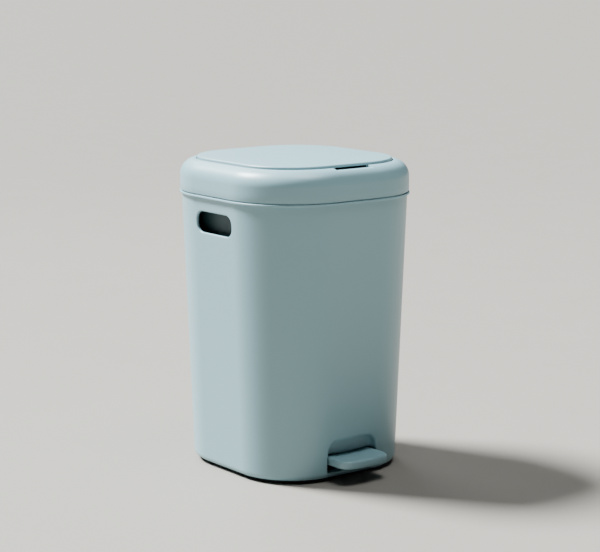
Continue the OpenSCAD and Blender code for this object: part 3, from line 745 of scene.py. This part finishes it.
def surface(name, colour, rough, grain=0.05, grain_scale=900.0, drift=0.06, rough_drift=0.06,
            metal=0.0, drawn=None, coat=0.0, wear=0.0):
    """A procedural material in object space.

    It has colour drift, moulded or drawn grain, uneven gloss and edge wear.
    """
    mat = bpy.data.materials.new(name)
    mat.use_nodes = True
    tree = mat.node_tree
    tree.nodes.clear()
    new = tree.nodes.new
    out = new("ShaderNodeOutputMaterial")
    bsdf = new("ShaderNodeBsdfPrincipled")
    link(tree, bsdf.outputs["BSDF"], out.inputs["Surface"])
    bsdf.inputs["Metallic"].default_value = metal
    bsdf.inputs["IOR"].default_value = PLASTIC_IOR
    bsdf.inputs["Coat Weight"].default_value = coat
    bsdf.inputs["Coat Roughness"].default_value = 0.35
    coord = new("ShaderNodeTexCoord")

    broad = new("ShaderNodeTexNoise")
    broad.inputs["Scale"].default_value = 7.0
    broad.inputs["Detail"].default_value = 3.0
    link(tree, coord.outputs["Object"], broad.inputs["Vector"])
    speck = new("ShaderNodeTexNoise")
    speck.inputs["Scale"].default_value = 420.0
    speck.inputs["Detail"].default_value = 2.0
    link(tree, coord.outputs["Object"], speck.inputs["Vector"])

    shade = new("ShaderNodeMix")
    shade.data_type = "RGBA"
    shade.inputs["A"].default_value = (*[c * (1 - drift) for c in colour], 1)
    shade.inputs["B"].default_value = (*[min(1.0, c * (1 + drift)) for c in colour], 1)
    level = new("ShaderNodeMath")
    level.operation = "MULTIPLY_ADD"
    level.inputs[1].default_value = 0.3
    link(tree, speck.outputs["Fac"], level.inputs[0])
    spread = new("ShaderNodeMath")
    spread.operation = "MULTIPLY"
    spread.inputs[1].default_value = 0.7
    link(tree, broad.outputs["Fac"], spread.inputs[0])
    link(tree, spread.outputs[0], level.inputs[2])
    link(tree, level.outputs[0], shade.inputs["Factor"])
    base = shade.outputs["Result"]

    if wear:
        edge = new("ShaderNodeBevel")
        edge.samples = 6
        edge.inputs["Radius"].default_value = 0.0012
        geo = new("ShaderNodeNewGeometry")
        dot = new("ShaderNodeVectorMath")
        dot.operation = "DOT_PRODUCT"
        link(tree, edge.outputs["Normal"], dot.inputs[0])
        link(tree, geo.outputs["Normal"], dot.inputs[1])
        ramp = new("ShaderNodeMapRange")
        ramp.inputs["From Min"].default_value = 0.995
        ramp.inputs["From Max"].default_value = 0.86
        ramp.inputs["To Min"].default_value = 0.0
        ramp.inputs["To Max"].default_value = wear
        link(tree, dot.outputs["Value"], ramp.inputs["Value"])
        rub = new("ShaderNodeMix")
        rub.data_type = "RGBA"
        rub.inputs["B"].default_value = (*[min(1.0, c * 1.25 + 0.03) for c in colour], 1)
        link(tree, ramp.outputs["Result"], rub.inputs["Factor"])
        link(tree, base, rub.inputs["A"])
        base = rub.outputs["Result"]
    link(tree, base, bsdf.inputs["Base Color"])

    gloss = new("ShaderNodeMapRange")
    gloss.inputs["To Min"].default_value = rough - rough_drift
    gloss.inputs["To Max"].default_value = rough + rough_drift
    link(tree, broad.outputs["Fac"], gloss.inputs["Value"])
    link(tree, gloss.outputs["Result"], bsdf.inputs["Roughness"])

    texture = new("ShaderNodeTexNoise")
    texture.inputs["Scale"].default_value = grain_scale
    texture.inputs["Detail"].default_value = 2.0
    texture.inputs["Roughness"].default_value = 0.6
    if drawn:
        stretch = new("ShaderNodeMapping")
        stretch.inputs["Scale"].default_value = drawn
        link(tree, coord.outputs["Object"], stretch.inputs["Vector"])
        link(tree, stretch.outputs["Vector"], texture.inputs["Vector"])
    else:
        link(tree, coord.outputs["Object"], texture.inputs["Vector"])
    bump = new("ShaderNodeBump")
    bump.inputs["Strength"].default_value = grain
    bump.inputs["Distance"].default_value = 0.0004
    link(tree, texture.outputs["Fac"], bump.inputs["Height"])
    link(tree, bump.outputs["Normal"], bsdf.inputs["Normal"])
    mat.diffuse_color = (*colour, 1)
    return mat


MATERIALS = {
    "shell_plastic": surface("satin_shell", (0.235, 0.405, 0.455), 0.40, grain=0.10,
                             grain_scale=1400.0, drift=0.02, rough_drift=0.03, wear=0.25,
                             coat=0.25),
    # black plastic of the base; its black also paints in the contact shadow along the shell's
    # bottom edge
    "base_plastic": surface("black_plastic_and_painted_contact_shadow", (0.03, 0.035, 0.04), 0.55, grain=0.2,
                            grain_scale=800.0, drift=0.15, wear=0.3),
    "rubber": surface("rubber", (0.02, 0.02, 0.02), 0.75, grain=0.3, grain_scale=1500.0, drift=0.2),
    "screw_steel": surface("zinc_screw", (0.45, 0.45, 0.46), 0.34, grain=0.08, drift=0.12,
                           metal=1.0, wear=0.3),
    "zinc_steel": surface("zinc_sheet", (0.55, 0.56, 0.57), 0.38, grain=0.12, grain_scale=300.0,
                          drift=0.12, metal=1.0, drawn=(1.0, 0.06, 1.0), wear=0.3),
    "bright_steel": surface("bright_steel", (0.65, 0.65, 0.66), 0.24, grain=0.10, metal=1.0,
                            drawn=(1.0, 1.0, 0.03), wear=0.2),
    "nylon": surface("natural_nylon", (0.80, 0.79, 0.74), 0.45, grain=0.06, drift=0.04, coat=0.1,
                     wear=0.15),
    "liner_plastic": surface("liner", (0.44, 0.53, 0.56), 0.5, grain=0.15, grain_scale=1100.0,
                             drift=0.04, wear=0.2),
    # the inner bucket's colour is darkened well below its plastic's own colour to paint in the
    # shade seen through the hand holes
    "bucket_plastic": surface("bucket", (0.015, 0.045, 0.05), 0.5, grain=0.12,
                              grain_scale=1100.0, drift=0.05, wear=0.35),
}


def dress(obj, material):
    obj.data.materials.clear()
    obj.data.materials.append(material)


# ---- pieces ----

PIECES = (("outer_body", build_shell, "shell"), ("lid_frame", build_frame, "frame"),
          ("lid_panel", build_lid, "lid"), ("pedal_pad", build_pedal, "pedal"))
for node, build, body in PIECES:
    piece = build()
    dress(piece, MATERIALS["shell_plastic"])
    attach(piece, body)
    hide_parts(node)

# the pieces that stay as the CAD made them, in metres
WELD_DISTANCE, EDGE_WIDTH = 0.00001, 0.0003
for part in frame["record"]["subparts"]:
    name = part.get("node") or part.get("name")
    obj = frame["nodes"][name]
    dress(obj, MATERIALS[part["material_slot"]])
    weld = obj.modifiers.new("weld", "WELD")
    weld.merge_threshold = WELD_DISTANCE
    bevel = obj.modifiers.new("edge", "BEVEL")
    bevel.width = EDGE_WIDTH
    bevel.segments = 2
    bevel.limit_method = "ANGLE"
    bevel.angle_limit = math.radians(40)
    bevel.harden_normals = True

# ---- floor, light and camera, in metres ----

FLOOR_HALF = 60
MIDDLE = (0, 0, 0.4)
LAMP_TINT = (0.97, 0.99, 1.0)


def turned(place, aim):
    """Rotation of a lamp at place that looks at aim."""
    return (Vector(aim) - Vector(place)).to_track_quat("-Z", "Y").to_euler()


def area(name, place, aim, size, watts):
    lamp = bpy.data.lights.new(name, "AREA")
    lamp.shape = "DISK"
    lamp.size = size
    lamp.energy = watts
    lamp.color = LAMP_TINT
    obj = bpy.data.objects.new(name, lamp)
    obj.location = place
    obj.rotation_euler = turned(place, aim)
    bpy.context.scene.collection.objects.link(obj)


ground = bpy.data.meshes.new("floor")
corners = [(-1, -1), (1, -1), (1, 1), (-1, 1)]
ground.from_pydata([(x * FLOOR_HALF, y * FLOOR_HALF, 0) for x, y in corners], [], [(0, 1, 2, 3)])
floor = bpy.data.objects.new("floor", ground)
bpy.context.scene.collection.objects.link(floor)
pale = surface("pale_floor", (0.268, 0.25, 0.222), 0.6, grain=0.03, grain_scale=60.0, drift=0.01)
dress(floor, pale)

sun = bpy.data.lights.new("key", "SUN")
sun.energy = 18
sun.angle = math.radians(15)
sun.color = (0.94, 0.98, 1.0)
key = bpy.data.objects.new("key", sun)
key.rotation_euler = turned((-1.25, 2.2, 3.5), MIDDLE)
bpy.context.scene.collection.objects.link(key)
area("back", (0.9, 2.6, 2.4), MIDDLE, 1.6, 30)
area("top", (0.2, -0.8, 3.4), (0, -0.1, 0.1), 1.6, 62)
world = bpy.data.worlds.new("studio")
bpy.context.scene.world = world
world.use_nodes = True
sky = world.node_tree.nodes["Background"]
sky.inputs["Color"].default_value = (0.94, 0.96, 1.0, 1)
sky.inputs["Strength"].default_value = 0.04

# the camera fitted to the photo: it looks along YAW, a little beside the frame's origin
YAW, PITCH = math.radians(37.5), math.radians(90 - 10.195)
REACH, HEIGHT, BESIDE = 3.4727, 0.9756, 0.0108
lens = bpy.data.cameras.new("camera")
lens.lens = 112.64
lens.sensor_width = 36
camera = bpy.data.objects.new("camera", lens)
camera.location = (BESIDE * math.cos(YAW) - REACH * math.sin(YAW),
                   -BESIDE * math.sin(YAW) - REACH * math.cos(YAW), HEIGHT)
camera.rotation_euler = (PITCH, 0, -YAW)
bpy.context.scene.collection.objects.link(camera)
bpy.context.scene.camera = camera
